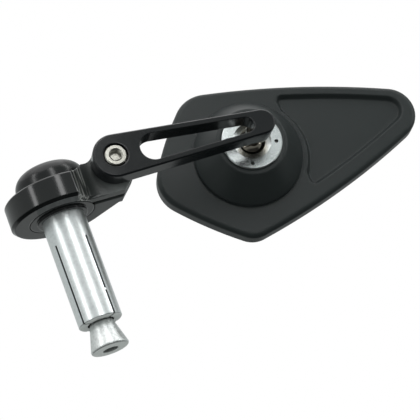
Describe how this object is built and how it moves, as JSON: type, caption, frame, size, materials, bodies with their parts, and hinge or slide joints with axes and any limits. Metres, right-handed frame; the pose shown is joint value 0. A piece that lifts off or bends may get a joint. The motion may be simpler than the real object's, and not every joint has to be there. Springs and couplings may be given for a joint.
{
  "type": "motorcycle bar end mirror",
  "caption": "Bar end mirror: an expanding plug grips the bar's bore, and a clamp ring, slotted arm and ball joint carry a kite-shaped mirror head.",
  "frame": {"origin": "centre of the collar face that seats on the end of the handlebar", "axes": "+Z out of the bar along the plug's axis, +X from the plug to the arm's pivot, +Y the way the mirror glass faces"},
  "size_m": [0.1789, 0.0456, 0.0965],
  "materials": {
    "black_anodised": "gloss black anodised, machined",
    "bright_aluminium": "bright turned",
    "stainless_steel": "turned stainless",
    "polished_ball": "polished",
    "white_nylon": "moulded",
    "satin_black": "satin black",
    "foam_tape": "foam tape",
    "mirror_glass": "silvered glass"
  },
  "bodies": {
    "plug": {"collar": "black_anodised", "end_cap": "black_anodised", "expander_sleeve": "bright_aluminium"},
    "plug_bolt": {"plug_bolt": "stainless_steel", "plug_bolt_washer": "stainless_steel"},
    "cone": {"expander_cone": "bright_aluminium"},
    "clamp": {"clamp_ring": "black_anodised", "pivot_bolt": "stainless_steel", "pivot_lock_washer": "stainless_steel", "friction_washer": "white_nylon"},
    "arm": {"arm": "black_anodised", "ball_stud": "polished_ball"},
    "liner": {"ball_liner": "white_nylon"},
    "seat": {"ball_seat": "white_nylon"},
    "head": {"mirror_housing": "satin_black", "socket_ring": "bright_aluminium", "disc_spring": "stainless_steel", "glass_pad": "foam_tape", "mirror_glass": "mirror_glass"}
  },
  "joints": [
    {"name": "plug_bolt_turn", "type": "hinge", "parent": "plug", "child": "plug_bolt", "pos_m": [0, 0, 0], "axis": [0, 0, 1], "range_deg": [-720, 0]},
    {"name": "cone_draw", "type": "slide", "parent": "plug", "child": "cone", "axis": [0, 0, 1], "range_m": [0, 0.002]},
    {"name": "clamp_swivel", "type": "hinge", "parent": "plug", "child": "clamp", "pos_m": [0, 0, 0.006], "axis": [0, 0, 1], "continuous": true},
    {"name": "arm_pivot", "type": "hinge", "parent": "clamp", "child": "arm", "pos_m": [0.0235, 0, 0.0123], "axis": [0, -1, 0], "range_deg": [-45, 90]},
    {"name": "head_turn", "type": "hinge", "parent": "arm", "child": "liner", "pos_m": [0.08324, 0.005, 0.00959], "axis": [0, 0, 1], "range_deg": [-9.5, 20.5]},
    {"name": "head_tilt", "type": "hinge", "parent": "liner", "child": "seat", "pos_m": [0.08324, 0.005, 0.00959], "axis": [0.9954, -0.0958, 0], "range_deg": [-15, 15]},
    {"name": "head_spin", "type": "hinge", "parent": "seat", "child": "head", "pos_m": [0.08324, 0.005, 0.00959], "axis": [-0.0958, -0.9954, 0], "range_deg": [-90, 90]}
  ],
  "couplings": [
    {"joint": "cone_draw", "follows": "plug_bolt_turn", "m_per_rad": -0.00015915}
  ]
}
